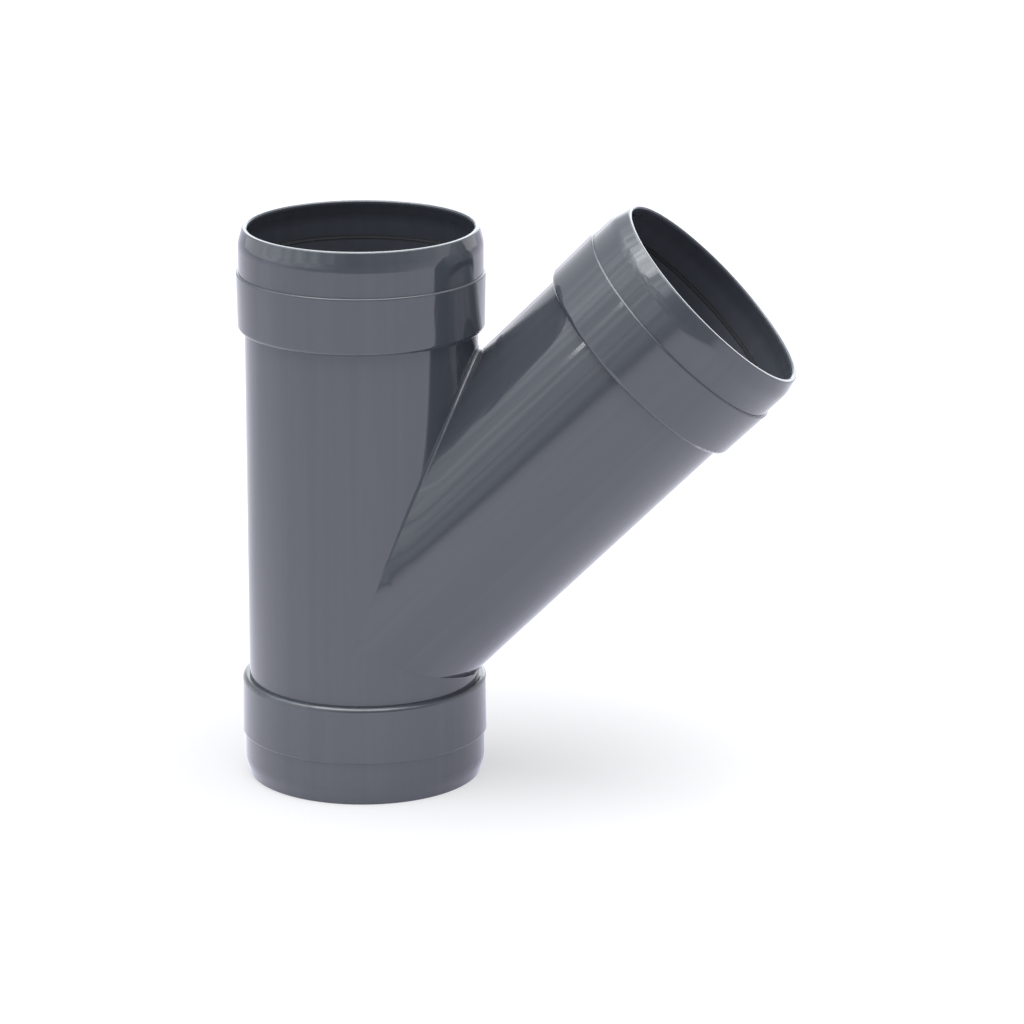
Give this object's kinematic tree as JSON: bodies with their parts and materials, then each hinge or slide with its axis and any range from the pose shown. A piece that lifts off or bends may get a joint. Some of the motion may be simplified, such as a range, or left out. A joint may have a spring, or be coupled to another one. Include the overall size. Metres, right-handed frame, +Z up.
{
  "type": "push-in y connector",
  "caption": "Dark grey moulded Y pipe connector: a straight run with a push-in socket at each end, and a slanted branch of equal bore that ends in a like socket.",
  "frame": {"origin": "centre of the lower mouth, in the plane of the lower lip that the fitting stands on", "axes": "+Z up along the run; the branch leaves the run towards +X and upwards at 45 degrees, in the plane Y = 0; +Y is across"},
  "size_m": [0.273, 0.1218, 0.2892],
  "materials": {
    "pvc_u": "injection moulded rigid PVC-U, dark slate grey all through, smooth with a soft gloss"
  },
  "bodies": {
    "root": {"y_connector": "pvc_u"}
  },
  "joints": []
}
